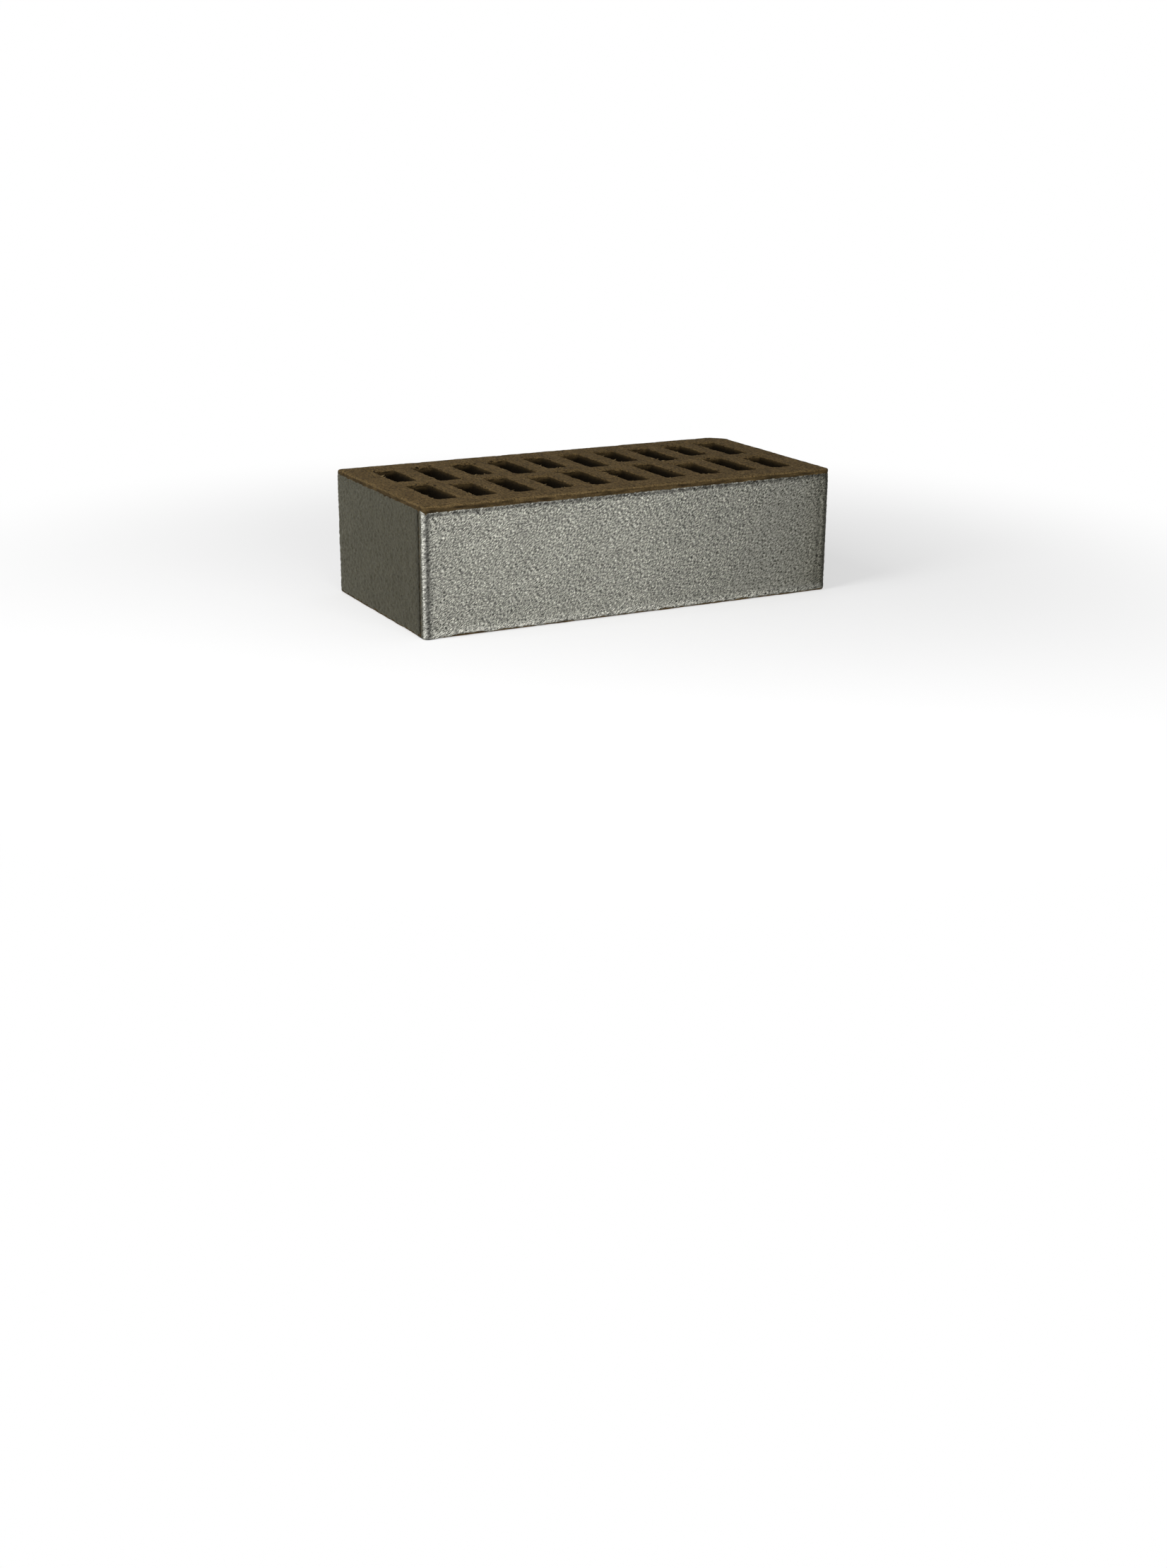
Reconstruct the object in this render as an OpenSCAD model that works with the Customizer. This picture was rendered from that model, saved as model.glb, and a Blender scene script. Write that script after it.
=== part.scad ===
// Perforated clay facing brick: an extruded, wire-cut block with two rows of upright slots.
// Millimetres. The origin is at the middle of the lower bed, +X runs along the brick,
// -Y is the front stretcher face and +Z points to the upper bed.

/* [Brick] */
// Length along the stretcher faces
brick_length = 250; // [150:1:400]
// Width across the bed, from the front face to the back face
brick_width = 120; // [80:1:200]
// Height from bed to bed
brick_height = 70; // [40:1:140]

/* [Edges] */
// Radius of the four upright corners
corner_radius = 3; // [1:0.5:8]
// Radius of the arrises round both beds
arris_radius = 1.5; // [0.5:0.25:5]

/* [Perforation] */
// Width of one slot, measured along the brick
slot_width = 13; // [8:0.5:25]
// Radius in the corners of a slot
slot_radius = 2; // [0.5:0.25:3.5]
// Clay between neighbouring slots of a row
cross_web = 10; // [5:0.5:25]
// Clay between the two rows of slots
middle_web = 11; // [5:0.5:30]
// Clay between the slots and the front or back face
face_wall = 16; // [8:0.5:30]
// Least clay between the slots and an end face
end_wall = 15; // [8:0.5:40]
// Step of the middle web from one slot to the next, so that long and short slots alternate
web_step = 7; // [0:0.5:20]

/* [Hidden] */
$fn = 64;

// Overrun of a cut or of a section past the faces that it trims
overrun = 5;
// Keeps a row that fits exactly from losing a slot to rounding
count_slack = 0.001;

slot_pitch = slot_width + cross_web;
slot_columns = floor((brick_length - 2 * end_wall + cross_web) / slot_pitch + count_slack);
first_slot_x = -(slot_columns - 1) * slot_pitch / 2;

// The two slots of one column share the depth that the walls and the middle web leave
column_depth = brick_width - 2 * face_wall - middle_web;
long_slot = (column_depth + web_step) / 2;
short_slot = (column_depth - web_step) / 2;
slot_wall_y = brick_width / 2 - face_wall;

clay_colour = [0.36, 0.30, 0.21];

// Rectangle about the origin with four round corners
module rounded_rectangle(size, radius) {
    inner = [size.x - 2 * radius, size.y - 2 * radius];
    square([size.x, inner.y], center = true);
    square([inner.x, size.y], center = true);
    for (side_x = [-1, 1], side_y = [-1, 1])
        translate([side_x * inner.x / 2, side_y * inner.y / 2])
            circle(r = radius);
}

// Column of clay as it leaves the die, with its upright corners rounded
module extruded_column() {
    translate([0, 0, -overrun])
        linear_extrude(height = brick_height + 2 * overrun)
            rounded_rectangle([brick_length, brick_width], corner_radius);
}

// Section across the brick, with the arrises of the stretcher faces rounded
module stretcher_arrises() {
    translate([-brick_length / 2 - overrun, 0, brick_height / 2])
        rotate([90, 0, 90])
            linear_extrude(height = brick_length + 2 * overrun)
                rounded_rectangle([brick_width, brick_height], arris_radius);
}

// Section along the brick, with the arrises of the end faces rounded
module header_arrises() {
    translate([0, brick_width / 2 + overrun, brick_height / 2])
        rotate([90, 0, 0])
            linear_extrude(height = brick_width + 2 * overrun)
                rounded_rectangle([brick_length, brick_height], arris_radius);
}

// One upright slot, from its wall beside a face towards the middle web
module slot(slot_length) {
    translate([0, slot_length / 2, -overrun])
        linear_extrude(height = brick_height + 2 * overrun)
            rounded_rectangle([slot_width, slot_length], slot_radius);
}

// Two rows of slots, long against short, so that the middle web steps to and fro
module perforation() {
    for (column = [0 : slot_columns - 1]) {
        front_is_long = column % 2 == 0;
        translate([first_slot_x + column * slot_pitch, 0, 0]) {
            translate([0, -slot_wall_y, 0])
                slot(front_is_long ? long_slot : short_slot);
            translate([0, slot_wall_y, 0])
                mirror([0, 1, 0])
                    slot(front_is_long ? short_slot : long_slot);
        }
    }
}

module brick() {
    color(clay_colour)
        difference() {
            intersection() {
                extruded_column();
                stretcher_arrises();
                header_arrises();
            }
            perforation();
        }
}

brick();
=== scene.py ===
# Perforated clay facing brick with a hammered metallic glaze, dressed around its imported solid.
import math
import random
from collections import namedtuple

import bmesh
import bpy
from mathutils import Matrix, Vector, noise


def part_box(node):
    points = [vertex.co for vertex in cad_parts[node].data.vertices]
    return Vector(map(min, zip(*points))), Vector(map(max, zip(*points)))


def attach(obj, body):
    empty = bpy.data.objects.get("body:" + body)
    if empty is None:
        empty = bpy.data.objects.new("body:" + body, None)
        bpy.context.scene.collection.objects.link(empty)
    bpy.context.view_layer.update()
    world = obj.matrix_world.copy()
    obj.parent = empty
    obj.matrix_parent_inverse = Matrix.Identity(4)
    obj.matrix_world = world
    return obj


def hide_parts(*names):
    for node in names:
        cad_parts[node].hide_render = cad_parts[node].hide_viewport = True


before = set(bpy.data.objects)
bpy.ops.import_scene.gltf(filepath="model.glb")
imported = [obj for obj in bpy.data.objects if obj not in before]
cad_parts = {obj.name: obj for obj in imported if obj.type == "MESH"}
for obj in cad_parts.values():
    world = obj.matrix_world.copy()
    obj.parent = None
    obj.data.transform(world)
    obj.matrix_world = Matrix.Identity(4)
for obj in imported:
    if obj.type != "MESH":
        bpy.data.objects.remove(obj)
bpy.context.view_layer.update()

# What is known of a plan, of a place on the clay, on the glaze or along its outline, and of a grain
Rectangle = namedtuple("Rectangle", "low_x low_y high_x high_y")
ClaySpot = namedtuple("ClaySpot", "at normal inset out low up gap slot")
GlazeSpot = namedtuple("GlazeSpot", "at out up down seam along")
Station = namedtuple("Station", "s place out foot head")
FiredGrain = namedtuple("FiredGrain", "grain_scale mottle_scale speck_scale lean stretch")

# Sizes of the brick, in metres
MM = 0.001
LOW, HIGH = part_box("brick")
LENGTH = HIGH.x - LOW.x
WIDTH = HIGH.y - LOW.y
HEIGHT = HIGH.z - LOW.z
CORNER_RADIUS = 3.0 * MM
ARRIS_RADIUS = 1.6 * MM
PLAN = Rectangle(-LENGTH / 2, -WIDTH / 2, LENGTH / 2, WIDTH / 2)

# Slots: the same layout as the solid's
SLOT_WIDTH = 13.0 * MM
SLOT_RADIUS = 2.0 * MM
CROSS_WEB = 10.0 * MM
MIDDLE_WEB = 11.0 * MM
FACE_WALL = 16.0 * MM
WEB_STEP = 7.0 * MM
SLOT_COLUMNS = 10
SLOT_PITCH = SLOT_WIDTH + CROSS_WEB
FIRST_SLOT_X = -(SLOT_COLUMNS - 1) * SLOT_PITCH / 2
SLOT_WALL_Y = WIDTH / 2 - FACE_WALL
COLUMN_DEPTH = WIDTH - 2 * FACE_WALL - MIDDLE_WEB
LONG_SLOT = (COLUMN_DEPTH + WEB_STEP) / 2
SHORT_SLOT = (COLUMN_DEPTH - WEB_STEP) / 2

# Fineness of the clay's mesh, its rows as millimetres from the nearer bed
CLAY_STEP = 1.3 * MM
MOUTH_STEP = 0.6 * MM
WALL_ROWS = (0.0, 0.5, 1.0, 1.6, 2.4, 3.4, 5.0, 8.0, 12.0, 16.0, 20.0, 24.0, 28.0, 32.0)
SLOT_ROWS = (0.0, 0.6, 1.3, 2.2, 3.4, 5.2, 8.0, 13.0, 21.0)
CRISP_ANGLE = math.radians(38)

# Places nearer than this are one, and a face looks a way from this share of its direction
SAME_PLACE = 0.2 * MM
SQUARE_ON = 0.5

# Half the side of a fresh grid, before its points are placed
GRID_HALF = 0.5

# Wear of the clay, with each layer of noise as (height, millimetres across, seed)
ARRIS_WANDER = ((0.35, 9.0, 3.1),)
FRONT_ARRIS_EASE = 1.25
SUNK_SPAN = (1.0 * MM, 3.5 * MM)
BED_GRAIN = ((0.10, 14.0, 5.0), (0.05, 4.0, 1.7), (0.05, 2.2, 2.3))
WALL_GRAIN = ((0.06, 5.0, 4.4), (0.05, 2.6, 6.1))
NICKS = ((1.0, 3.2, 8.8), (0.6, 1.5, 9.2))
NICK_REACH = 2.5 * MM
NICK_LEAST = 0.15
NICK_DEPTH = 0.225 * MM
BLUNT_DEPTH = 0.9 * MM
BLUNT_REACH = 11.0 * MM
BLUNT_ROOT = 1.5 * MM

# Slot mouths, torn by the cutting wire
MOUTH_REACH = 5.0 * MM
MOUTH_DEPTH = 6.0 * MM
TEAR_REACH = 1.5 * MM
DROOP = 0.05 * MM
DROOP_LUMPS = ((0.22, 6.0, 11.0), (0.30, 2.0, 12.0))
TEAR_DEPTH = 0.9 * MM
TEARS = ((0.55, 5.0, 13.0), (0.45, 2.2, 14.0), (0.25, 1.3, 15.0))
SMEAR_INSIDE = 2.0 * MM
SMEAR_OUTSIDE = 0.5 * MM
SMEAR_REACH = 3.4 * MM
SMEAR_WANDER = ((1.5, 6.0, 16.0),)
SMEAR_SINK = 0.5 * MM
SMEAR_LUMPS = ((0.9, 4.0, 17.0),)

# Burrs at the slot mouths: the draws below each share pick that edge, and the rest the right one
BURRS_PER_SLOT = 9
LEFT_EDGE_SHARE = 0.55
FRONT_EDGE_SHARE = 0.80
BACK_EDGE_SHARE = 0.90
BURR_SIDES = 7
BURR_ROOT = 0.3 * MM
BURR_TIP = 0.15
BURR_SINK = (0.1 * MM, 0.5 * MM)
BURR_RADIUS = (0.4 * MM, 1.1 * MM)
BURR_LENGTH = (1.2 * MM, 3.2 * MM)
BURR_SWING = (-0.7, 0.7)
BURR_TILT = (-0.3, 0.5)
BURR_THICKNESS = (0.4, 0.8)
BURR_BREADTH = (0.8, 1.4)
BURR_CRUMPLE = ((0.6, 0.7, 18.0),)
# Painted highlight on the burrs at the near edges, painted shade on those at the far ones
BURR_HIGHLIGHT = 0.15
BURR_HIGHLIGHT_RANGE = 0.75
BURR_SHADE = 0.75

# Shares of wear with painted highlight, and of painted shade, on the clay, from none to one
WORN_LIT_SHARE = 0.38
WORN_LIT_EDGE = (0.6 * MM, 0.6 * MM)
WORN_LIT_DEPTH = (0.1 * MM, 0.8 * MM)
WORN_PLAIN = 0.6
WORN_PATCHES = ((1.0, 3.5, 51.0),)
STRIP_REACH = 3.5 * MM
STRIP_SHADE = 0.57
STRIP_DEPTH = (0.0, 0.9 * MM)
STREAKS = ((1.0, 0.9, 61.0),)
STREAK_DRAW = 7.0
STREAK_WORN = 0.15
STREAK_SHADE = 0.45
FAR_WALL_SHADE = 0.42
FAR_WALL_SPAN = (0.2 * MM, 3.8 * MM)
SIDE_WALL_SHADE = 0.66
SIDE_WALL_SPAN = (0.0, 2.8 * MM)
CRACK_SHADE = 0.55
CRACK_BAND = (0.6 * MM, 0.3 * MM)
CRACK_SPAN = (-0.1, 0.3)
CRACKS = ((1.0, 3.0, 62.0),)

# Glaze coat: its mesh, its edges and what it leaves bare
FRONT_GLAZE_STEP = 0.45 * MM
END_GLAZE_STEP = 0.55 * MM
GLAZE_DEPTH = 0.42 * MM
COAT_ROOT = 0.6 * MM
TOP_STRIP_LEFT = 2.6 * MM
TOP_STRIP_RIGHT = 2.1 * MM
END_STRIP = 1.5 * MM
LEAST_STRIP = 0.5 * MM
STRIP_WANDER = ((0.22, 7.0, 21.0), (0.14, 2.2, 22.0))
FOOT_STRIP = 0.7 * MM
LEAST_FOOT = 0.05 * MM
FOOT_WANDER = ((0.45, 8.0, 23.0), (0.30, 2.6, 24.0))
FOOT_SPAN = (4.0 * MM, 16.0 * MM)
BACK_WRAP = 1.2 * MM
SEAM_WRAP = 2.2 * MM
FRONT_SPAN = (0.15, 0.85)

# Relief of the glaze
GLAZE_LIP_SPAN = (-0.1 * MM, 0.9 * MM)
GLAZE_LIP_CURVE = 0.6
GLAZE_LIP_SINK = 1.5 * GLAZE_DEPTH
UPPER_THINNING = 0.30 * MM
UPPER_REACH = 3.2 * MM
FOOT_ROLL = 0.20 * MM
FOOT_ROLL_BAND = (1.0 * MM, 2.0 * MM)
BEAD_AT = -2.6 * MM
BEAD_RISE = 0.24 * MM
BEAD_BREADTH = 1.2 * MM
GROOVE_AT = -0.6 * MM
GROOVE_SINK = 0.27 * MM
GROOVE_BREADTH = 0.9 * MM
HAMMER_SCALE = 0.8
HAMMER_DRAW = 1.25
HAMMER_MARKS = ((0.26, 1.05, 31.0),)
GLAZE_LUMPS = ((0.10, 1.9, 32.0), (0.05, 4.5, 33.0), (0.08, 15.0, 34.0))
END_LUMPS = 0.4
PEEL_LEAN = 0.5
PEEL_DRAW = 1.9
PEEL = ((0.26, 1.5, 35.0), (0.10, 1.0, 36.0))

# Thickness of the glaze with painted light in it, where one is a full coat: painted shade towards the
# right of the front and on the ends, painted highlights along the foot, under the upper edge and on the
# corner bead
FILM_MOST = 1.5
FILM_LEFT = 1.03
SHADED_FILM_RIGHT = 0.74
FILM_SHADE_SPAN = (0.40, 1.15)
RIGHT_EDGE_SHADE = 0.10
RIGHT_EDGE_SHADE_SPAN = (0.90, 1.0)
END_FILM_AND_SHADE = 0.40
END_FADE = 0.14
END_PEEL = ((0.18, 1.6, 37.0),)
LOW_LOSS = 0.07
FOOT_HIGHLIGHT = 0.20
FOOT_HIGHLIGHT_BAND = (1.8 * MM, 1.9 * MM)
LIP_HIGHLIGHT = 0.30
LIP_HIGHLIGHT_BAND = (0.0, 0.6 * MM)
BEAD_HIGHLIGHT = 0.62
BEAD_HIGHLIGHT_BREADTH = 1.9 * MM
FILM_EDGE_SPAN = (-0.3 * MM, 0.8 * MM)
FOOT_SPARE = 0.3 * MM

# Painted shade on the glaze: under its upper edge, in the groove, down the left seam and round the right
# corner
GLAZE_SHADE_UPPER_BAND = (1.7 * MM, 1.0 * MM)
GLAZE_SHADE_PLAIN = 0.75
GLAZE_SHADE_RAGS = ((0.8, 3.0, 41.0), (0.48, 1.2, 42.0))
GLAZE_SHADE_GROOVE_BAND = (GROOVE_AT + 0.2 * MM, 1.6 * MM)
GLAZE_SHADE_SEAM = 0.85
GLAZE_SHADE_SEAM_FRONT = 1.2 * MM
GLAZE_SHADE_SEAM_END = 3.0 * MM
GLAZE_SHADE_TURN_SPAN = (-2.3 * MM, 1.3 * MM)
GLAZE_SHADE_TURN_OUT = (0.8, 1.3)
GLAZE_SHADE_RIGHT = 0.40
GLAZE_SHADE_RIGHT_BAND = (-3.8 * MM, 1.5 * MM)

# Glazed outline, from behind the left end round the front to behind the right end
QUARTER_TURN = math.pi / 2
QUARTER_ARC = QUARTER_TURN * CORNER_RADIUS
FRONT_RUN = LENGTH - 2 * CORNER_RADIUS
END_RUN = WIDTH - 2 * CORNER_RADIUS
OUTLINE_RUNS = (BACK_WRAP, END_RUN, FRONT_RUN, END_RUN, BACK_WRAP)
LEFT_SEAM = BACK_WRAP + QUARTER_ARC + END_RUN - SEAM_WRAP
FRONT_START = LEFT_SEAM + SEAM_WRAP + QUARTER_ARC
RIGHT_SEAM = FRONT_START + FRONT_RUN + QUARTER_ARC + SEAM_WRAP
OUTLINE_END = RIGHT_SEAM + LEFT_SEAM

# Fired clay: tones, and the brightness that each mask gives over its span
CLAY_GRAIN = FiredGrain(1350.0, 130.0, 700.0, 0.0, (1.0, 2.2, 1.0))
CLAY_TONES = (
    (0.30, (0.061, 0.0402, 0.0162)),
    (0.50, (0.078, 0.0518, 0.0212)),
    (0.70, (0.099, 0.0662, 0.0280)),
)
CLAY_SPECKS = (0.35, 0.32, 0.30, 1.0)
# Paler clay where rubbed, which also paints a highlight on the arrises and near burrs
WORN_AND_LIT_CLAY = (0.140, 0.104, 0.054, 1.0)
GRIT_SPAN, GRIT_LIGHT = (0.35, 0.65), (0.34, 1.90)
GRIT_DEPTH, GRIT_STRENGTH = (0.0, 0.6), (1.0, 0.35)
# Painted shade in the slots, on the bare strips and on the far burrs
PAINTED_SHADE_SPAN, PAINTED_SHADE_LIGHT = (0.0, 1.0), (1.0, 0.07)
CLAY_ROUGHNESS = 0.92
CLAY_SPECULAR = 0.05
CLAY_BUMP = 0.7
CLAY_BUMP_HEIGHT = 0.40 * MM

# Metallic glaze: tones by thickness with painted light, and what each mask gives over its span
GLAZE_GRAIN = FiredGrain(1700.0, 60.0, 900.0, math.radians(36), (2.6, 1.2, 0.85))
GLAZE_TONES = (
    (0.0, (0.034, 0.030, 0.020)),
    (0.28, (0.046, 0.043, 0.028)),
    (0.54, (0.119, 0.118, 0.102)),
    (0.72, (0.176, 0.175, 0.154)),
    (1.0, (0.255, 0.253, 0.227)),
)
GLAZE_PITS = (0.35, 0.35, 0.33, 1.0)
GLAZE_EDGE_TINT = (0.96, 0.95, 0.87, 1.0)
CLOUD_SPAN, CLOUD_LIGHT = (0.30, 0.70), (0.92, 1.08)
# Painted highlights on the hammered crests and painted shade between them
CREST_SPAN, CREST_HIGHLIGHT_AND_SHADE = (0.375, 0.625), (0.04, 2.50)
HIGHLIGHT_FILM, HIGHLIGHT_STRENGTH = (1.05, 1.4), (1.0, 0.55)
THIN_FILM, THIN_STRENGTH = (0.45, 0.56), (0.5, 1.0)
GLAZE_SHADE_SPAN, GLAZE_SHADE_LIGHT = (0.0, 1.0), (1.0, 0.22)
GLOSS_FILM, GLOSS_ROUGHNESS = (0.3, 1.0), (0.39, 0.24)
GLAZE_BUMP = 1.0
GLAZE_BUMP_HEIGHT = 0.58 * MM

# Detail and roughness of the fired grain's own noises
FINE_DETAIL, FINE_ROUGHNESS = 4.0, 0.62
MOTTLE_DETAIL, MOTTLE_ROUGHNESS = 5.0, 0.6
SPECK_DETAIL = 1.0
SPECK_SPAN = (0.62, 0.76)

# Room for each node in the editor
NODE_SPACING = 200

# Floor, background and lamps, each lamp with its place, size and power
FLOOR_SIZE = 30.0
FLOOR_COLOUR = (0.93, 0.93, 0.93, 1.0)
FLOOR_ROUGHNESS = 0.9
FLOOR_SPECULAR = 0.1
FLOOR_WHITE_SPAN, FLOOR_WHITE = (0.17, 0.48), (0.50, 1.0)
BACKGROUND_COLOUR = (1.0, 1.0, 1.0, 1.0)
BACKGROUND_FILL, BACKGROUND_SEEN = 0.35, 1.0
LAMPS = (
    ("key", (-0.09, -0.70, 0.17), (0.46, 0.26), 3.3),
    ("left_strip", (-1.00, -0.28, 0.28), (0.4, 0.5), 6.5),
    ("top_left", (-0.45, -0.10, 0.55), (0.35, 0.35), 1.5),
)

# The photograph's camera, found from the brick's edges
IMAGE_SIZE = (1652, 2219)
FOCAL_PIXELS = 2840.3
CAMERA_PLACE = (-0.52396, -0.98853, 0.27506)
CAMERA_AZIMUTH = math.radians(27.96)
CAMERA_ELEVATION = math.radians(19.32)
CAMERA_ROLL = math.radians(0.354)
SENSOR_WIDTH = 36.0
VIEW_REACH = 200.0

# Random draws, for the burrs alone
SEED = 7
chance = random.Random(SEED)


def slots():
    """The mouth of every slot, column by column."""
    found = []
    for column in range(SLOT_COLUMNS):
        x = FIRST_SLOT_X + column * SLOT_PITCH
        front, back = (LONG_SLOT, SHORT_SLOT) if column % 2 == 0 else (SHORT_SLOT, LONG_SLOT)
        low_x, high_x = x - SLOT_WIDTH / 2, x + SLOT_WIDTH / 2
        found.append(Rectangle(low_x, -SLOT_WALL_Y, high_x, -SLOT_WALL_Y + front))
        found.append(Rectangle(low_x, SLOT_WALL_Y - back, high_x, SLOT_WALL_Y))
    return found


SLOTS = slots()


def clamp(value, low=0.0, high=1.0):
    return max(low, min(high, value))


def between(low, high, share):
    return low + (high - low) * share


def smooth_step(low, high, value):
    t = clamp((value - low) / (high - low))
    return t * t * (3 - 2 * t)


def hump(value, centre, spread):
    """A smooth bump of height one."""
    return math.exp(-((value - centre) / spread) ** 2)


def grain(point, size, seed):
    """Smooth noise from -1 to 1 whose lumps are about size across."""
    return noise.noise(Vector((point.x / size + seed, point.y / size - seed, point.z / size + 2 * seed)))


def layered(point, layers, least=-1.0):
    """Layers of noise added up, each one held to at least a level."""
    return sum(height * max(least, grain(point, size * MM, seed)) for height, size, seed in layers)


def grid_lines(marks, step):
    """The marks, with lines between them about a step apart."""
    lines = []
    for low, high in zip(marks, marks[1:]):
        count = max(1, round((high - low) / step))
        lines += [between(low, high, i / count) for i in range(count)]
    return lines + [marks[-1]]


def merged(values):
    """The values in order, each once."""
    kept = []
    for value in sorted(values):
        if not kept or value - kept[-1] > SAME_PLACE:
            kept.append(value)
    return kept


def bed_lines(axis, half):
    """Grid lines across the bed: the faces, the slots' edges and a fine line beside each edge."""
    marks = [-half, -half + MOUTH_STEP, half - MOUTH_STEP, half]
    for slot in SLOTS:
        low, high = slot[axis], slot[axis + 2]
        marks += [low - MOUTH_STEP, low, high, high + MOUTH_STEP]
    return grid_lines(merged(marks), CLAY_STEP)


def in_slot(x, y):
    return any(slot.low_x < x < slot.high_x and slot.low_y < y < slot.high_y for slot in SLOTS)


def slot_gap(place):
    """Distance from the nearest slot's edge, and that slot."""
    gaps = []
    for slot in SLOTS:
        across = max(slot.low_x - place.x, 0.0, place.x - slot.high_x)
        along = max(slot.low_y - place.y, 0.0, place.y - slot.high_y)
        gaps.append((math.hypot(across, along), slot))
    return min(gaps)


def face_gap(place):
    """Distance of a point of the square-cornered block from its nearest upright face."""
    return min(LENGTH / 2 - abs(place.x), WIDTH / 2 - abs(place.y))


def past_core(place, plan, radius):
    """How far a place lies past the core of a rectangle, which is a corner radius in from its sides."""
    core_x = clamp(place.x, plan.low_x + radius, plan.high_x - radius)
    core_y = clamp(place.y, plan.low_y + radius, plan.high_y - radius)
    return Vector((place.x - core_x, place.y - core_y))


def numbered_grid(bm, columns, ranks):
    """A flat grid, as its points with the column and the rank of each."""
    bmesh.ops.create_grid(bm, x_segments=columns, y_segments=ranks, size=GRID_HALF)
    numbered = []
    for v in bm.verts:
        column = round((v.co.x + GRID_HALF) * columns)
        rank = round((v.co.y + GRID_HALF) * ranks)
        numbered.append((v, column, rank))
    return numbered


def round_plan(bm):
    """Rounds the upright corners of the block and of its slots."""
    for v in bm.verts:
        out = past_core(v.co, PLAN, CORNER_RADIUS)
        if out.x and out.y:
            v.co += out.to_3d() * (max(abs(out.x), abs(out.y)) / out.length - 1.0)
        gap, slot = slot_gap(v.co)
        out = past_core(v.co, slot, SLOT_RADIUS)
        if gap < SAME_PLACE and out.x and out.y:
            v.co += out.to_3d() * (SLOT_RADIUS / out.length - 1.0)


def set_rows(bm, edges, rows):
    """Cuts upright edges into rows, close together near both beds."""
    depths = [row * MM for row in rows]
    heights = depths + [HEIGHT / 2] + [HEIGHT - depth for depth in reversed(depths)]
    made = bmesh.ops.subdivide_edges(bm, edges=edges, cuts=len(heights) - 2, use_grid_fill=True)
    for v in {g for g in made["geom_inner"] if isinstance(g, bmesh.types.BMVert)}:
        v.co.z = heights[round(v.co.z / HEIGHT * (len(heights) - 1))]


def block_mesh():
    """The wire-cut block with its slots, as an even mesh."""
    x_lines = bed_lines(0, LENGTH / 2)
    y_lines = bed_lines(1, WIDTH / 2)
    bm = bmesh.new()
    for v, column, rank in numbered_grid(bm, len(x_lines) - 1, len(y_lines) - 1):
        v.co.x = x_lines[column]
        v.co.y = y_lines[rank]
    holes = [f for f in bm.faces if in_slot(*f.calc_center_median().xy)]
    bmesh.ops.delete(bm, geom=holes, context="FACES")
    bed = bm.faces[:]
    top = bmesh.ops.extrude_face_region(bm, geom=bed)["geom"]
    raised = [g for g in top if isinstance(g, bmesh.types.BMVert)]
    bmesh.ops.translate(bm, vec=(0, 0, HEIGHT), verts=raised)
    upright = [e for e in bm.edges if abs(e.verts[0].co.z - e.verts[1].co.z) > HEIGHT / 2]
    outer = [e for e in upright if face_gap(e.verts[0].co) < SAME_PLACE]
    inner = [e for e in upright if face_gap(e.verts[0].co) >= SAME_PLACE]
    set_rows(bm, outer, WALL_ROWS)
    set_rows(bm, inner, SLOT_ROWS)
    bmesh.ops.recalc_face_normals(bm, faces=bm.faces)
    round_plan(bm)
    return bm


def clay_spot(v):
    """A point of the clay, with its place among the brick's faces, beds and slots."""
    at = v.co.copy()
    out = past_core(at, PLAN, CORNER_RADIUS)
    low = min(at.z, HEIGHT - at.z)
    up = 1.0 if at.z > HEIGHT / 2 else -1.0
    gap, slot = slot_gap(at)
    return ClaySpot(at, v.normal.copy(), CORNER_RADIUS - out.length, out.normalized(), low, up, gap, slot)


def on_glazed_face(spot):
    """True on the front and the ends, which carry the coat."""
    return spot.inset < SAME_PLACE and spot.out.y < SQUARE_ON


def rounded_arris(spot):
    """Rounds the edge between a bed and an upright face, more freely along the front's top."""
    radius = ARRIS_RADIUS * (1.0 + layered(spot.at, ARRIS_WANDER))
    if spot.out.y < -SQUARE_ON and spot.up > 0:
        radius *= FRONT_ARRIS_EASE
    if spot.inset >= radius or spot.low >= radius:
        return Vector()
    from_core = Vector((radius - spot.inset, radius - spot.low))
    shrink = max(from_core) / from_core.length - 1.0
    return Vector((*(spot.out * from_core.x), spot.up * from_core.y)) * shrink


def sunk_face(spot):
    """Sets a glazed face back under the coat."""
    if not on_glazed_face(spot):
        return Vector()
    return spot.out.to_3d() * -GLAZE_DEPTH * smooth_step(*SUNK_SPAN, spot.low)


def roughened(spot):
    """Leaves a bed uneven in height, and the other faces uneven square to themselves."""
    if spot.low < SAME_PLACE:
        return Vector((0.0, 0.0, spot.up * layered(spot.at, BED_GRAIN) * MM))
    return spot.normal * layered(spot.at, WALL_GRAIN) * MM


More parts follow.
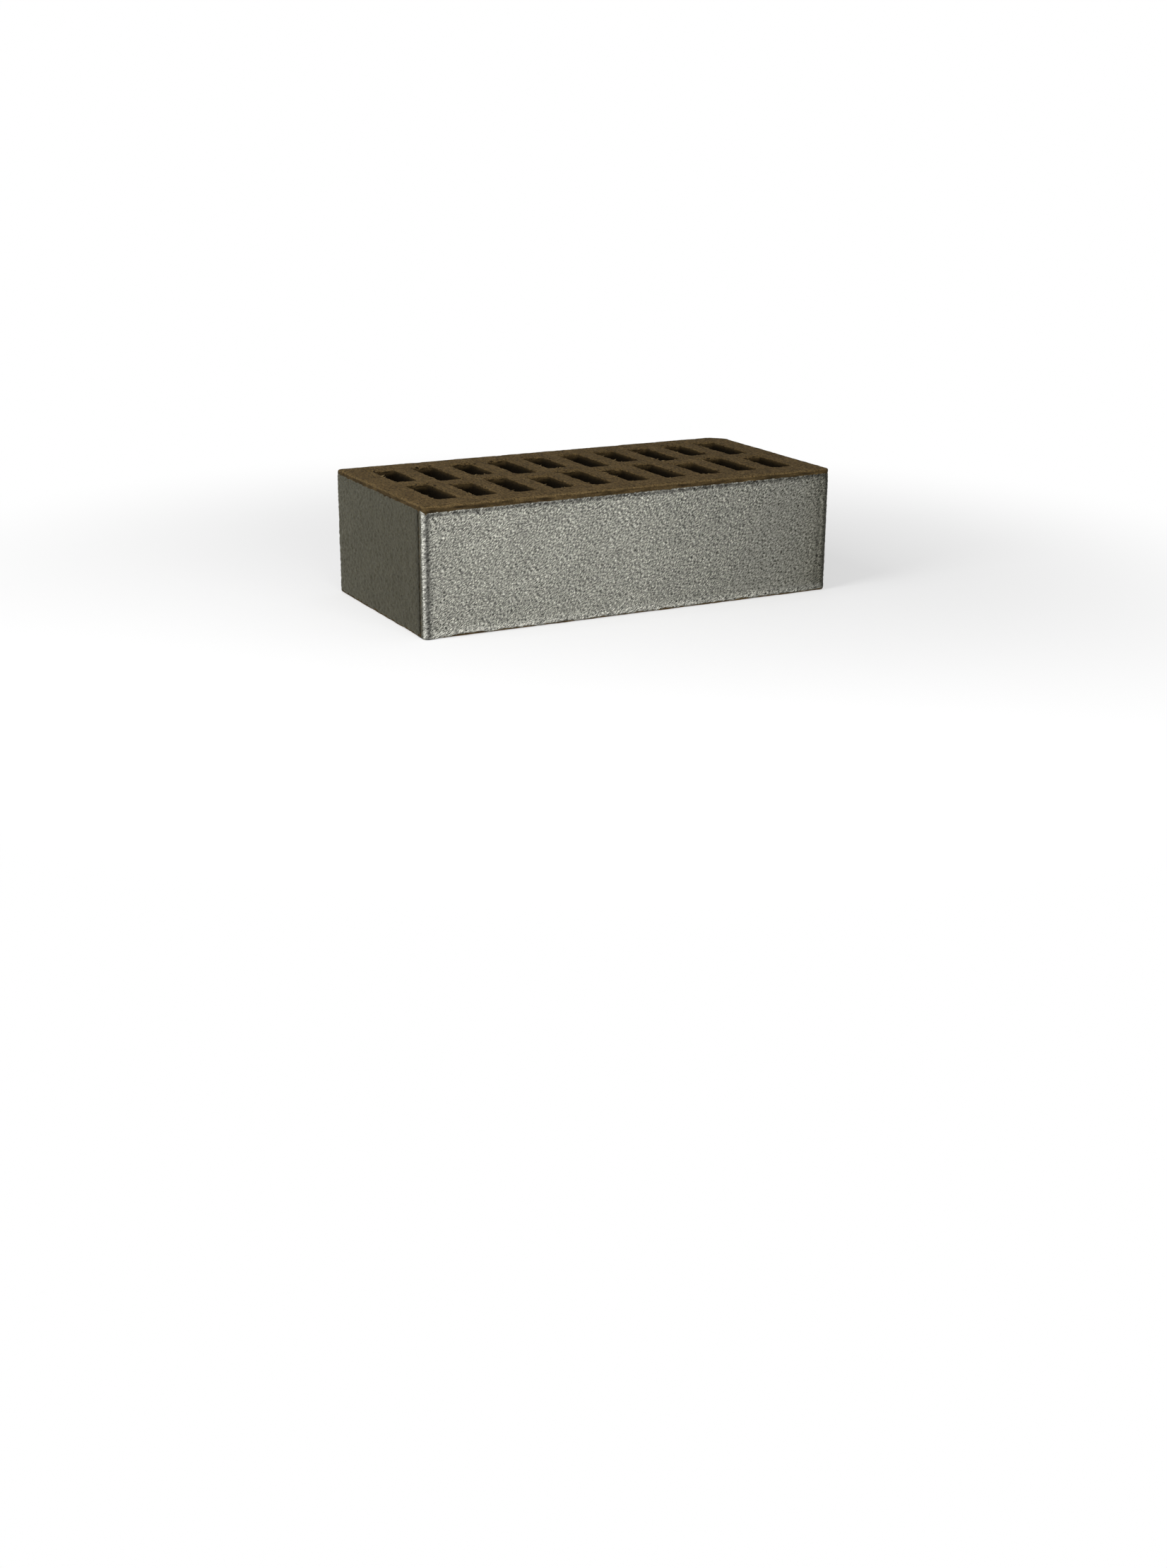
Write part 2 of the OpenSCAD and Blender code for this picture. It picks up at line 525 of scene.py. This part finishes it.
def torn_mouth(spot):
    """Drags the clay at a slot's mouth as the wire did: drooping lips, tears, a smeared far end."""
    if spot.gap > MOUTH_REACH or spot.low > MOUTH_DEPTH:
        return Vector()
    slot = spot.slot
    shallow = 1.0 - smooth_step(0.0, MOUTH_DEPTH, spot.low)
    lip = shallow * (1.0 - smooth_step(0.0, TEAR_REACH, spot.gap))
    inward_x = clamp(((slot.low_x + slot.high_x) / 2 - spot.at.x) / SLOT_RADIUS, -1.0)
    inward_y = clamp(((slot.low_y + slot.high_y) / 2 - spot.at.y) / SLOT_RADIUS, -1.0)
    move = Vector((inward_x, inward_y, 0.0)) * TEAR_DEPTH * layered(spot.at, TEARS) * lip
    move.z -= spot.up * lip * (DROOP + layered(spot.at, DROOP_LUMPS, 0.0) * MM)
    if spot.up > 0:
        reach = SMEAR_REACH + layered(spot.at, SMEAR_WANDER) * MM
        far = smooth_step(slot.high_y - SMEAR_INSIDE, slot.high_y + SMEAR_OUTSIDE, spot.at.y)
        far *= 1.0 - smooth_step(0.0, reach, spot.gap)
        move.z -= far * shallow * max(0.0, SMEAR_SINK + layered(spot.at, SMEAR_LUMPS) * MM)
    return move


def nicked_arris(spot):
    """Chips the edges round both beds."""
    if spot.inset > NICK_REACH or spot.low > NICK_REACH:
        return Vector()
    nick = max(0.0, layered(spot.at, NICKS) - NICK_LEAST)
    return Vector((spot.out.x, spot.out.y, spot.up)) * -NICK_DEPTH * nick


def blunted_corner(spot):
    """Knocks down the upper bed's back right corner a little."""
    if spot.up < 0 or spot.low > BLUNT_ROOT:
        return Vector()
    from_corner = math.hypot(LENGTH / 2 - spot.at.x, WIDTH / 2 - spot.at.y)
    return Vector((0.0, 0.0, -BLUNT_DEPTH * (1.0 - smooth_step(0.0, BLUNT_REACH, from_corner))))


def on_bare_strip(spot):
    """True on the bare clay of a glazed face, between a bed and the coat."""
    return on_glazed_face(spot) and spot.low < STRIP_REACH


def streak(spot):
    """Noise drawn out along the faces."""
    return layered(Vector((spot.at.x / STREAK_DRAW, spot.at.y / STREAK_DRAW, spot.at.z)), STREAKS)


def worn_and_lit_share(spot):
    """How far the clay is rubbed pale: in patches round the beds, which also paint a highlight along the
    arrises, and in streaks on the bare strips.
    """
    edge = hump(spot.inset, *WORN_LIT_EDGE) * (1.0 - smooth_step(*WORN_LIT_DEPTH, spot.low))
    worn_and_lit = clamp(WORN_LIT_SHARE * edge * (WORN_PLAIN + layered(spot.at, WORN_PATCHES)))
    if on_bare_strip(spot):
        worn_and_lit = clamp(worn_and_lit + STREAK_WORN * streak(spot))
    return worn_and_lit


def shade_and_streaks_share(spot):
    """How far the clay is painted dark: painted shade down in the slots, and painted shade with streaks
    in it on the bare strips.
    """
    if spot.gap < SAME_PLACE < spot.low:
        return slot_shade(spot)
    if on_bare_strip(spot):
        return clamp((STRIP_SHADE - STREAK_SHADE * streak(spot)) * smooth_step(*STRIP_DEPTH, spot.low))
    return 0.0


def slot_shade(spot):
    """How dark a slot's wall is: the far wall keeps some light near its top, the others soon lose it."""
    crack = CRACK_SHADE * hump(spot.low, *CRACK_BAND) * smooth_step(*CRACK_SPAN, layered(spot.at, CRACKS))
    far_shade = between(FAR_WALL_SHADE, 1.0, smooth_step(*FAR_WALL_SPAN, spot.low)) + crack
    side_shade = between(SIDE_WALL_SHADE, 1.0, smooth_step(*SIDE_WALL_SPAN, spot.low))
    return clamp(between(side_shade, far_shade, clamp(-spot.normal.y)))


def wear_clay(bm):
    """Moves every point of the clean block by its wear, and marks how far it is rubbed pale or painted
    lit and how much painted shade it takes.
    """
    bm.normal_update()
    worn_and_lit = bm.verts.layers.float.new("worn_and_lit")
    shade_and_streaks = bm.verts.layers.float.new("shade_and_streaks")
    wears = (rounded_arris, sunk_face, roughened, torn_mouth, nicked_arris, blunted_corner)
    for v in bm.verts:
        spot = clay_spot(v)
        v[worn_and_lit] = worn_and_lit_share(spot)
        v[shade_and_streaks] = shade_and_streaks_share(spot)
        v.co += sum((wear(spot) for wear in wears), Vector())
        v.co.z = max(0.0, v.co.z)
    for e in bm.edges:
        e.smooth = not e.is_manifold or e.calc_face_angle() < CRISP_ANGLE


def mouth_place(slot, along, side):
    """A place beside a slot's mouth on the upper bed, and the heading from there into the slot."""
    x = between(slot.low_x, slot.high_x, along)
    y = between(slot.low_y, slot.high_y, along)
    if side < LEFT_EDGE_SHARE:
        return Vector((slot.low_x - BURR_ROOT, y, HEIGHT)), 0.0
    if side < FRONT_EDGE_SHARE:
        return Vector((x, slot.low_y - BURR_ROOT, HEIGHT)), QUARTER_TURN
    if side < BACK_EDGE_SHARE:
        return Vector((x, slot.high_y + BURR_ROOT, HEIGHT)), -QUARTER_TURN
    return Vector((slot.high_x + BURR_ROOT, y, HEIGHT)), 2 * QUARTER_TURN


def add_burr(bm, slot, worn_and_lit, shade_and_streaks):
    """One burr or crumb that the cutting wire left, with a painted highlight on the near edges and
    painted shade on the far ones.
    """
    along, side = chance.random(), chance.random()
    place, heading = mouth_place(slot, along, side)
    place.z -= chance.uniform(*BURR_SINK)
    radius, length = chance.uniform(*BURR_RADIUS), chance.uniform(*BURR_LENGTH)
    turn = Matrix.Rotation(heading + chance.uniform(*BURR_SWING), 4, "Z")
    turn = turn @ Matrix.Rotation(QUARTER_TURN - chance.uniform(*BURR_TILT), 4, "Y")
    flat = Matrix.Diagonal((chance.uniform(*BURR_THICKNESS), chance.uniform(*BURR_BREADTH), 1.0, 1.0))
    matrix = Matrix.Translation(place) @ turn @ flat
    burr = bmesh.ops.create_cone(bm, cap_ends=True, segments=BURR_SIDES, radius1=radius,
                                 radius2=BURR_TIP * radius, depth=length, matrix=matrix)
    for v in burr["verts"]:
        v.co += (v.co - place) * layered(v.co, BURR_CRUMPLE)
        # Near burrs take a painted highlight, far ones painted shade
        if side < FRONT_EDGE_SHARE:
            v[worn_and_lit] = BURR_HIGHLIGHT + BURR_HIGHLIGHT_RANGE * chance.random()
        else:
            v[shade_and_streaks] = BURR_SHADE


def add_burrs(bm):
    worn_and_lit, shade_and_streaks = bm.verts.layers.float["worn_and_lit"], bm.verts.layers.float["shade_and_streaks"]
    for slot in SLOTS:
        for _ in range(BURRS_PER_SLOT):
            add_burr(bm, slot, worn_and_lit, shade_and_streaks)


def outline_point(s):
    """A point of the glazed outline, s metres from its start, and the way out there."""
    place = Vector((PLAN.low_x + CORNER_RADIUS + BACK_WRAP, PLAN.high_y))
    out = Vector((0.0, 1.0))
    facing = QUARTER_TURN
    for run in OUTLINE_RUNS:
        straight = min(s, run)
        bend = min(s - straight, QUARTER_ARC)
        s -= straight + bend
        centre = place + Vector((-out.y, out.x)) * straight - out * CORNER_RADIUS
        facing += bend / CORNER_RADIUS
        out = Vector((math.cos(facing), math.sin(facing)))
        place = centre + out * CORNER_RADIUS
    return place, out


def frontness(out):
    """One on the front stretcher face, none on the ends, blending round the corners."""
    return smooth_step(*FRONT_SPAN, -out.y)


def glaze_station(s):
    """One place along the outline, with the heights of the coat's lower and upper edges there."""
    place, out = outline_point(s)
    here = place.to_3d()
    across = clamp((place.x - PLAN.low_x) / LENGTH)
    front_strip = between(TOP_STRIP_LEFT, TOP_STRIP_RIGHT, across)
    strip = between(END_STRIP, front_strip, frontness(out)) + layered(here, STRIP_WANDER) * MM
    from_corner = (place - Vector((PLAN.low_x, PLAN.low_y))).length
    foot = FOOT_STRIP * smooth_step(*FOOT_SPAN, from_corner) + layered(here, FOOT_WANDER) * MM
    return Station(s, place, out, max(LEAST_FOOT, foot), HEIGHT - max(LEAST_STRIP, strip))


def peel_place(point):
    """A point as the orange peel of the ends has it, drawn out on a slant."""
    return Vector((point.x, (point.y + PEEL_LEAN * point.z) / PEEL_DRAW, point.z))


def glaze_relief(spot):
    """The hammered marks of the front and the orange peel of the ends."""
    at, front = spot.at, frontness(spot.out)
    leaning = Vector(((at.x + at.z) / HAMMER_DRAW, at.y, at.z - at.x)) * HAMMER_SCALE
    lumps = layered(leaning, HAMMER_MARKS) + layered(at, GLAZE_LUMPS)
    peel = layered(peel_place(at), PEEL)
    return (lumps * between(END_LUMPS, 1.0, front) + peel * (1.0 - front)) * MM


def corner_profile(along):
    """The run of glaze down the front left corner: a bead with a groove beside it."""
    bead = BEAD_RISE * hump(along, BEAD_AT, BEAD_BREADTH)
    return bead - GROOVE_SINK * hump(along, GROOVE_AT, GROOVE_BREADTH)


def glaze_height(spot):
    """How far the coat stands out: less at its edges, more along the foot, with bead and relief."""
    lip = smooth_step(*GLAZE_LIP_SPAN, min(spot.up, spot.down, spot.seam)) ** GLAZE_LIP_CURVE
    sunk = GLAZE_LIP_SINK * (1.0 - lip) + UPPER_THINNING * (1.0 - smooth_step(0.0, UPPER_REACH, spot.up))
    raised = FOOT_ROLL * frontness(spot.out) * hump(spot.down, *FOOT_ROLL_BAND)
    raised += corner_profile(spot.along) + glaze_relief(spot)
    return raised * lip - sunk


def film_and_light_share(spot):
    """How thick the glaze lies, with painted light: full on the front with painted shade towards its
    right, a little less towards the bottom, thin with painted shade on the ends, thinner at seams and at
    the foot, and painted highlights along the foot, under the upper edge and on the corner bead.
    """
    at, front = spot.at, frontness(spot.out)
    across = clamp((at.x - PLAN.low_x) / LENGTH)
    # Painted shade towards the right of the front and at its right edge
    field = between(FILM_LEFT, SHADED_FILM_RIGHT, smooth_step(*FILM_SHADE_SPAN, across))
    field -= RIGHT_EDGE_SHADE * smooth_step(*RIGHT_EDGE_SHADE_SPAN, across)
    # The ends are thinner, with painted shade
    end = END_FILM_AND_SHADE - END_FADE * clamp((PLAN.high_y - at.y) / WIDTH)
    end += layered(peel_place(at), END_PEEL)
    film_and_light = between(end, field, front)
    film_and_light -= LOW_LOSS * front * (1.0 - at.z / HEIGHT)
    # Painted highlights along the foot, under the upper edge and down the corner bead
    film_and_light += FOOT_HIGHLIGHT * front * hump(spot.down, *FOOT_HIGHLIGHT_BAND)
    film_and_light += LIP_HIGHLIGHT * front * hump(spot.up, *LIP_HIGHLIGHT_BAND)
    film_and_light += BEAD_HIGHLIGHT * hump(spot.along, BEAD_AT, BEAD_HIGHLIGHT_BREADTH)
    film_and_light *= smooth_step(*FILM_EDGE_SPAN, min(spot.seam, spot.down + FOOT_SPARE))
    return clamp(film_and_light, high=FILM_MOST)


def glaze_shade_share(spot):
    """Painted shade on the glaze: under its upper edge, in the groove, by the left seam and round the
    right corner.
    """
    ragged = clamp(GLAZE_SHADE_PLAIN + layered(spot.at, GLAZE_SHADE_RAGS))
    glaze_shade = hump(spot.up, *GLAZE_SHADE_UPPER_BAND) * ragged * frontness(spot.out)
    glaze_shade += hump(spot.along, *GLAZE_SHADE_GROOVE_BAND)
    from_seam = spot.along + QUARTER_ARC + SEAM_WRAP
    seam_breadth = GLAZE_SHADE_SEAM_FRONT if from_seam > 0.0 else GLAZE_SHADE_SEAM_END
    glaze_shade += GLAZE_SHADE_SEAM * hump(from_seam, 0.0, seam_breadth)
    past_front = spot.along - FRONT_RUN
    turned_away = smooth_step(*GLAZE_SHADE_TURN_OUT, past_front / QUARTER_ARC)
    glaze_shade += smooth_step(*GLAZE_SHADE_TURN_SPAN, past_front) * (1.0 - turned_away)
    glaze_shade += GLAZE_SHADE_RIGHT * hump(past_front, *GLAZE_SHADE_RIGHT_BAND)
    return clamp(glaze_shade)


def coat_mesh(start, end, step):
    """The glaze along one run of the outline: a hammered sheet, closed behind inside the clay."""
    length = end - start
    columns, ranks = round(length / step), round(HEIGHT / step)
    bm = bmesh.new()
    film_and_light = bm.verts.layers.float.new("film_and_light")
    glaze_shade = bm.verts.layers.float.new("glaze_shade")
    stations = [glaze_station(start + length * i / columns) for i in range(columns + 1)]
    chains = {0: [None] * len(stations), ranks: [None] * len(stations)}
    for v, column, rank in numbered_grid(bm, columns, ranks):
        s, place, out, foot, head = stations[column]
        z = between(foot, head, rank / ranks)
        at = Vector((place.x, place.y, z))
        spot = GlazeSpot(at, out, head - z, z - foot, min(s - start, end - s), s - FRONT_START)
        # Glaze thickness with painted light, and a mask of painted shade, for the material
        v[film_and_light] = film_and_light_share(spot)
        v[glaze_shade] = glaze_shade_share(spot)
        v.co = at + out.to_3d() * glaze_height(spot)
        if rank in chains:
            chains[rank][column] = v
    close_behind(bm, stations, chains.values())
    bmesh.ops.recalc_face_normals(bm, faces=bm.faces)
    return bm


def close_behind(bm, stations, chains):
    """Carries a sheet's long edges into the clay, joins them there and shuts both ends."""
    inner = []
    for chain in chains:
        edges = [bm.edges.get(pair) for pair in zip(chain, chain[1:])]
        made = bmesh.ops.extrude_edge_only(bm, edges=edges)["geom"]
        for v in (g for g in made if isinstance(g, bmesh.types.BMVert)):
            nearest = min(range(len(chain)), key=lambda i: (chain[i].co - v.co).length_squared)
            v.co -= stations[nearest].out.to_3d() * COAT_ROOT
        inner += [g for g in made if isinstance(g, bmesh.types.BMEdge) and g.is_boundary
                  and not any(v in (chain[0], chain[-1]) for v in g.verts)]
    bmesh.ops.bridge_loops(bm, edges=inner)
    bmesh.ops.holes_fill(bm, edges=[e for e in bm.edges if e.is_boundary], sides=0)


def placed_object(bm, name, material):
    """A smooth-shaded object made of a bmesh, in the scene."""
    mesh = bpy.data.meshes.new(name)
    bm.to_mesh(mesh)
    bm.free()
    mesh.materials.append(material)
    for polygon in mesh.polygons:
        polygon.use_smooth = True
    made = bpy.data.objects.new(name, mesh)
    bpy.context.scene.collection.objects.link(made)
    return made


def node(tree, kind, **values):
    """A new node, to the right of those made before it."""
    made = tree.nodes.new(kind)
    made.location.x = NODE_SPACING * len(tree.nodes)
    for key, value in values.items():
        setattr(made, key, value)
    return made


def feed(tree, socket, value):
    """Links an output to a socket, or sets the socket to a plain value."""
    if isinstance(value, bpy.types.NodeSocket):
        tree.links.new(value, socket)
    else:
        socket.default_value = value


def combined(tree, operation, first, second):
    """Two values put together by a Math node."""
    made = node(tree, "ShaderNodeMath", operation=operation)
    feed(tree, made.inputs[0], first)
    feed(tree, made.inputs[1], second)
    return made.outputs["Value"]


def mapped(tree, value, span, result, **values):
    """A value's span carried over to another, held at both ends."""
    made = node(tree, "ShaderNodeMapRange", **values)
    made.inputs["From Min"].default_value, made.inputs["From Max"].default_value = span
    made.inputs["To Min"].default_value, made.inputs["To Max"].default_value = result
    tree.links.new(value, made.inputs["Value"])
    return made.outputs["Result"]


def mixed(tree, colour, other, share, blend_type="MULTIPLY"):
    """A colour multiplied by another or mixed with it, at a share."""
    made = node(tree, "ShaderNodeMix", data_type="RGBA", blend_type=blend_type)
    feed(tree, made.inputs["Factor"], share)
    feed(tree, made.inputs["A"], colour)
    feed(tree, made.inputs["B"], other)
    return made.outputs["Result"]


def ramp(tree, value, stops):
    """The colour that a value has between the stops."""
    made = node(tree, "ShaderNodeValToRGB")
    elements = made.color_ramp.elements
    while len(elements) < len(stops):
        elements.new(0.5)
    for element, (position, colour) in zip(elements, stops):
        element.position = position
        element.color = (*colour, 1.0)
    tree.links.new(value, made.inputs["Fac"])
    return made.outputs["Color"]


def attribute(tree, name):
    return node(tree, "ShaderNodeAttribute", attribute_name=name).outputs["Fac"]


def bump(tree, shader, height, strength, distance):
    """Raises a shader's surface by a height that varies over it."""
    made = node(tree, "ShaderNodeBump")
    made.inputs["Strength"].default_value = strength
    made.inputs["Distance"].default_value = distance
    tree.links.new(height, made.inputs["Height"])
    tree.links.new(made.outputs["Normal"], shader.inputs["Normal"])


def grain_group():
    """Node group shared by clay and glaze: fired grain as a height, a mottle and a mask of specks."""
    group = bpy.data.node_groups.new("fired_grain", "ShaderNodeTree")
    group.interface.new_socket(name="Place", in_out="INPUT", socket_type="NodeSocketVector")
    for name in ("Grain Scale", "Mottle Scale", "Speck Scale"):
        group.interface.new_socket(name=name, in_out="INPUT", socket_type="NodeSocketFloat")
    for name in ("Height", "Mottle", "Specks"):
        group.interface.new_socket(name=name, in_out="OUTPUT", socket_type="NodeSocketFloat")
    take = node(group, "NodeGroupInput")
    fine, mottle, specks = (node(group, "ShaderNodeTexNoise") for _ in range(3))
    fine.inputs["Detail"].default_value = FINE_DETAIL
    fine.inputs["Roughness"].default_value = FINE_ROUGHNESS
    mottle.inputs["Detail"].default_value = MOTTLE_DETAIL
    mottle.inputs["Roughness"].default_value = MOTTLE_ROUGHNESS
    specks.inputs["Detail"].default_value = SPECK_DETAIL
    for texture, scale in ((fine, "Grain Scale"), (mottle, "Mottle Scale"), (specks, "Speck Scale")):
        group.links.new(take.outputs["Place"], texture.inputs["Vector"])
        group.links.new(take.outputs[scale], texture.inputs["Scale"])
    mask = mapped(group, specks.outputs["Fac"], SPECK_SPAN, (0.0, 1.0))
    give = node(group, "NodeGroupOutput")
    group.links.new(fine.outputs["Fac"], give.inputs["Height"])
    group.links.new(mottle.outputs["Fac"], give.inputs["Mottle"])
    group.links.new(mask, give.inputs["Specks"])
    return group


def grained(tree, group, look):
    """The fired grain at a material's own scales, leaning on the front and drawn out along each axis."""
    where = node(tree, "ShaderNodeTexCoord")
    turned = node(tree, "ShaderNodeMapping", vector_type="TEXTURE")
    turned.inputs["Rotation"].default_value = (0.0, -look.lean, 0.0)
    turned.inputs["Scale"].default_value = look.stretch
    made = node(tree, "ShaderNodeGroup", node_tree=group)
    tree.links.new(where.outputs["Object"], turned.inputs["Vector"])
    tree.links.new(turned.outputs["Vector"], made.inputs["Place"])
    made.inputs["Grain Scale"].default_value = look.grain_scale
    made.inputs["Mottle Scale"].default_value = look.mottle_scale
    made.inputs["Speck Scale"].default_value = look.speck_scale
    return made.outputs["Height"], made.outputs["Mottle"], made.outputs["Specks"]


def blank_material(name):
    material = bpy.data.materials.new(name)
    material.use_nodes = True
    tree = material.node_tree
    return material, tree, tree.nodes["Principled BSDF"]


def clay_material(group):
    """Dark umber fired clay, mottled and gritty, paler where rubbed and at painted highlights, and with
    painted shade that leaves it nearly black in the slots.
    """
    material, tree, shader = blank_material("fired_clay")
    height, mottle, specks = grained(tree, group, CLAY_GRAIN)
    worn_and_lit, shade_and_streaks = attribute(tree, "worn_and_lit"), attribute(tree, "shade_and_streaks")
    grit = mapped(tree, height, GRIT_SPAN, GRIT_LIGHT)
    grit_strength = mapped(tree, shade_and_streaks, GRIT_DEPTH, GRIT_STRENGTH)
    colour = mixed(tree, ramp(tree, mottle, CLAY_TONES), grit, grit_strength)
    colour = mixed(tree, colour, CLAY_SPECKS, specks)
    # Paler where rubbed, and a painted highlight on the arrises and near burrs
    colour = mixed(tree, colour, WORN_AND_LIT_CLAY, worn_and_lit, "MIX")
    # Painted shade down the slots, on the bare strips and on the far burrs
    colour = mixed(tree, colour, mapped(tree, shade_and_streaks, PAINTED_SHADE_SPAN, PAINTED_SHADE_LIGHT), 1.0)
    tree.links.new(colour, shader.inputs["Base Color"])
    shader.inputs["Roughness"].default_value = CLAY_ROUGHNESS
    shader.inputs["Specular IOR Level"].default_value = CLAY_SPECULAR
    bump(tree, shader, height, CLAY_BUMP, CLAY_BUMP_HEIGHT)
    return material


def glaze_material(group):
    """Metallic-grey glaze, darker where thin and where shade is painted, with painted highlights on the
    hammered crests and painted shade between them, and tiny pits.
    """
    material, tree, shader = blank_material("metallic_glaze")
    height, mottle, specks = grained(tree, group, GLAZE_GRAIN)
    film_and_light, glaze_shade = attribute(tree, "film_and_light"), attribute(tree, "glaze_shade")
    # Tone by thickness with painted light and shade in it
    tone = ramp(tree, mapped(tree, film_and_light, (0.0, FILM_MOST), (0.0, 1.0)), GLAZE_TONES)
    colour = mixed(tree, tone, mapped(tree, mottle, CLOUD_SPAN, CLOUD_LIGHT), 1.0)
    # Crests and relief calmer where painted highlights lift the tone
    highlight_strength = mapped(tree, film_and_light, HIGHLIGHT_FILM, HIGHLIGHT_STRENGTH)
    thin_strength = mapped(tree, film_and_light, THIN_FILM, THIN_STRENGTH)
    # How strongly the hammered crests take a painted highlight and the dips between painted shade
    crest_highlight_strength = combined(tree, "MULTIPLY", highlight_strength, thin_strength)
    colour = mixed(tree, colour, mapped(tree, height, CREST_SPAN, CREST_HIGHLIGHT_AND_SHADE), crest_highlight_strength)
    colour = mixed(tree, colour, GLAZE_PITS, specks)
    # Painted shade under the upper edge, in the groove, by the left seam and round the right corner
    colour = mixed(tree, colour, mapped(tree, glaze_shade, GLAZE_SHADE_SPAN, GLAZE_SHADE_LIGHT), 1.0)
    tree.links.new(colour, shader.inputs["Base Color"])
    shader.inputs["Metallic"].default_value = 1.0
    shader.inputs["Specular Tint"].default_value = GLAZE_EDGE_TINT
    tree.links.new(mapped(tree, film_and_light, GLOSS_FILM, GLOSS_ROUGHNESS), shader.inputs["Roughness"])
    relief = combined(tree, "MULTIPLY", height, highlight_strength)
    bump(tree, shader, relief, GLAZE_BUMP, GLAZE_BUMP_HEIGHT)
    return material


def background_rays(tree):
    """One for the rays that show the background: the camera's, and those that gloss or glass sends on."""
    path = node(tree, "ShaderNodeLightPath")
    seen = combined(tree, "MAXIMUM", path.outputs["Is Camera Ray"], path.outputs["Is Glossy Ray"])
    return combined(tree, "MAXIMUM", seen, path.outputs["Is Transmission Ray"])


def outside_brick(tree, place):
    """None under the brick and one on the open floor."""
    size = node(tree, "ShaderNodeVectorMath", operation="ABSOLUTE")
    axes = node(tree, "ShaderNodeSeparateXYZ")
    tree.links.new(place, size.inputs[0])
    tree.links.new(size.outputs["Vector"], axes.inputs["Vector"])
    past_end = combined(tree, "GREATER_THAN", axes.outputs["X"], LENGTH / 2 - ARRIS_RADIUS)
    past_face = combined(tree, "GREATER_THAN", axes.outputs["Y"], WIDTH / 2 - ARRIS_RADIUS)
    return combined(tree, "MAXIMUM", past_end, past_face)


def floor_material():
    """A plain pale floor near the brick, running out into the white of the background further off."""
    material, tree, shader = blank_material("pale_floor")
    shader.inputs["Base Color"].default_value = FLOOR_COLOUR
    shader.inputs["Roughness"].default_value = FLOOR_ROUGHNESS
    shader.inputs["Specular IOR Level"].default_value = FLOOR_SPECULAR
    place = node(tree, "ShaderNodeTexCoord").outputs["Object"]
    reach = node(tree, "ShaderNodeVectorMath", operation="LENGTH")
    tree.links.new(place, reach.inputs[0])
    far = mapped(tree, reach.outputs["Value"], FLOOR_WHITE_SPAN, FLOOR_WHITE,
                 interpolation_type="SMOOTHSTEP")
    seen = combined(tree, "MULTIPLY", far, background_rays(tree))
    share = combined(tree, "MULTIPLY", seen, outside_brick(tree, place))
    white = node(tree, "ShaderNodeEmission")
    mix = node(tree, "ShaderNodeMixShader")
    tree.links.new(share, mix.inputs["Fac"])
    tree.links.new(shader.outputs["BSDF"], mix.inputs[1])
    tree.links.new(white.outputs["Emission"], mix.inputs[2])
    tree.links.new(mix.outputs["Shader"], tree.nodes["Material Output"].inputs["Surface"])
    return material


def lay_floor():
    bm = bmesh.new()
    bmesh.ops.create_grid(bm, x_segments=1, y_segments=1, size=FLOOR_SIZE)
    floor = placed_object(bm, "floor", floor_material())


def light_studio():
    """A white background that fills softly, and the lamps, all turned to the middle of the brick."""
    world = bpy.data.worlds.new("studio")
    bpy.context.scene.world = world
    world.use_nodes = True
    tree = world.node_tree
    back = tree.nodes["Background"]
    back.inputs["Color"].default_value = BACKGROUND_COLOUR
    level = mapped(tree, background_rays(tree), (0.0, 1.0), (BACKGROUND_FILL, BACKGROUND_SEEN))
    tree.links.new(level, back.inputs["Strength"])
    middle = Vector((0.0, 0.0, HEIGHT / 2))
    for name, place, size, power in LAMPS:
        lamp = bpy.data.lights.new(name, "AREA")
        lamp.shape = "RECTANGLE"
        lamp.size, lamp.size_y = size
        lamp.energy = power
        holder = bpy.data.objects.new(name, lamp)
        holder.location = place
        holder.rotation_euler = (middle - Vector(place)).to_track_quat("-Z", "Y").to_euler()
        holder.visible_camera = False
        bpy.context.scene.collection.objects.link(holder)


def place_camera():
    camera = bpy.data.cameras.new("camera")
    camera.sensor_fit = "AUTO"
    camera.sensor_width = SENSOR_WIDTH
    camera.lens = FOCAL_PIXELS * SENSOR_WIDTH / max(IMAGE_SIZE)
    camera.clip_end = VIEW_REACH
    holder = bpy.data.objects.new("camera", camera)
    turn = Matrix.Rotation(-CAMERA_AZIMUTH, 4, "Z")
    turn = turn @ Matrix.Rotation(QUARTER_TURN - CAMERA_ELEVATION, 4, "X")
    turn = turn @ Matrix.Rotation(CAMERA_ROLL, 4, "Z")
    holder.matrix_world = Matrix.Translation(CAMERA_PLACE) @ turn
    bpy.context.scene.collection.objects.link(holder)
    bpy.context.scene.camera = holder


def finish_piece(bm, name, material):
    """Makes a finished piece of a bmesh, riding on the brick's one body."""
    piece = placed_object(bm, name, material)
    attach(piece, "root")
    return piece


def build_brick():
    group = grain_group()
    body = block_mesh()
    wear_clay(body)
    add_burrs(body)
    clay = finish_piece(body, "clay_body", clay_material(group))
    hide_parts("brick")
    glaze = glaze_material(group)
    runs = (("front_glaze", LEFT_SEAM, RIGHT_SEAM, FRONT_GLAZE_STEP),
            ("left_end_glaze", 0.0, LEFT_SEAM, END_GLAZE_STEP),
            ("right_end_glaze", RIGHT_SEAM, OUTLINE_END, END_GLAZE_STEP))
    for name, start, end, step in runs:
        coat = finish_piece(coat_mesh(start, end, step), name, glaze)


place_camera()
lay_floor()
light_studio()
build_brick()
bpy.context.scene.view_settings.view_transform = "Standard"
